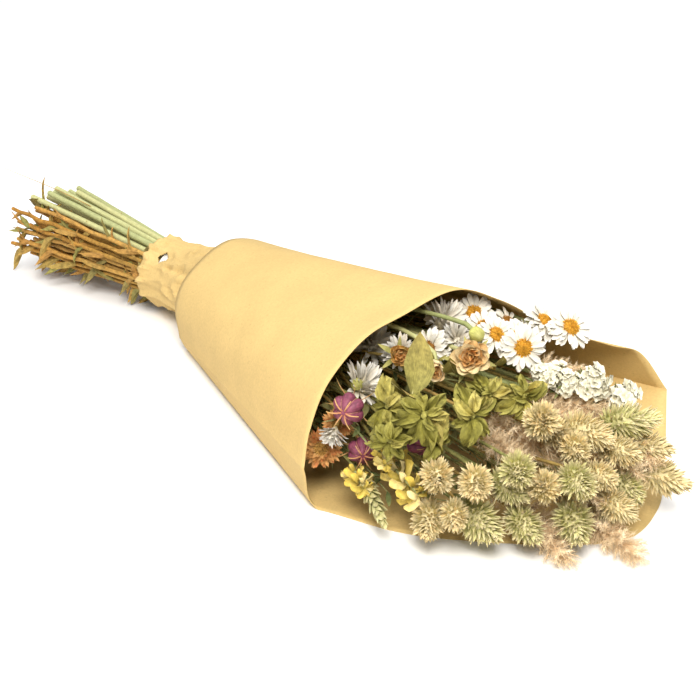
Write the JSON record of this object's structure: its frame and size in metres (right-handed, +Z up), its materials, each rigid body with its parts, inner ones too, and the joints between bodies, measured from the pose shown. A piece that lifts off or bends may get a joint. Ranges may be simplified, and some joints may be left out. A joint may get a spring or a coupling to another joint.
{
  "type": "dried flower bouquet",
  "caption": "Bunch of dried flowers, grasses and seed heads, tied at the stems and wrapped in a cone of kraft paper, lying on its side.",
  "frame": {"origin": "middle of the footprint, on the surface that the bouquet lies on", "axes": "+X from the cut stem ends to the flower heads, +Z up, away from the surface"},
  "size_m": [0.5788, 0.21, 0.1003],
  "materials": {
    "bract_head": "dry curled bracts, matte",
    "canary_grass": "dry grass head, matte",
    "daisy": "dry papery petals, matte",
    "elastic": "matt white elastic band",
    "kraft": "matte brown kraft paper",
    "leaf": "dry leaf, matte",
    "nigella_pod": "dried seed pod, satin",
    "plume": "feathery dry grass, matte",
    "rose": "dried petals, satin",
    "seed_bud": "dry yellow-green bud, matte",
    "statice": "dry papery florets, matte",
    "strawflower": "dry papery bracts, satin",
    "tuft": "dry papery petals, matte",
    "wheat_ear": "dry ear, matte",
    "yellow_sprig": "dry petals, matte"
  },
  "bodies": {
    "root": {"daisy_1": "daisy", "daisy_2": "daisy", "daisy_3": "daisy", "daisy_4": "daisy", "daisy_5": "daisy", "daisy_6": "daisy", "daisy_7": "daisy", "daisy_8": "daisy", "white_tuft_1": "tuft", "white_tuft_2": "tuft", "white_tuft_3": "tuft", "white_tuft_4": "tuft", "seed_bud_1": "seed_bud", "seed_bud_2": "seed_bud", "rose_1": "rose", "rose_2": "rose", "rose_3": "rose", "nigella_1": "nigella_pod", "nigella_2": "nigella_pod", "nigella_3": "nigella_pod", "strawflower_1": "strawflower", "green_bracts_1": "bract_head", "green_bracts_2": "bract_head", "green_bracts_3": "bract_head", "green_bracts_4": "bract_head", "leaf_1": "leaf", "leaf_2": "leaf", "canary_grass_1": "canary_grass", "canary_grass_2": "canary_grass", "canary_grass_3": "canary_grass", "canary_grass_4": "canary_grass", "canary_grass_5": "canary_grass", "canary_grass_6": "canary_grass", "canary_grass_7": "canary_grass", "canary_grass_8": "canary_grass", "canary_grass_9": "canary_grass", "canary_grass_10": "canary_grass", "canary_grass_11": "canary_grass", "canary_grass_12": "canary_grass", "canary_grass_13": "canary_grass", "canary_grass_14": "canary_grass", "canary_grass_15": "canary_grass", "canary_grass_16": "canary_grass", "canary_grass_17": "canary_grass", "wheat_ear_1": "wheat_ear", "yellow_sprig_1": "yellow_sprig", "yellow_sprig_2": "yellow_sprig", "plume_1": "plume", "plume_2": "plume", "plume_3": "plume", "plume_4": "plume", "plume_5": "plume", "statice_1": "statice", "statice_2": "statice", "statice_3": "statice", "kraft_sleeve": "kraft", "paper_cuff": "kraft", "binding_tie": "elastic"}
  },
  "joints": []
}
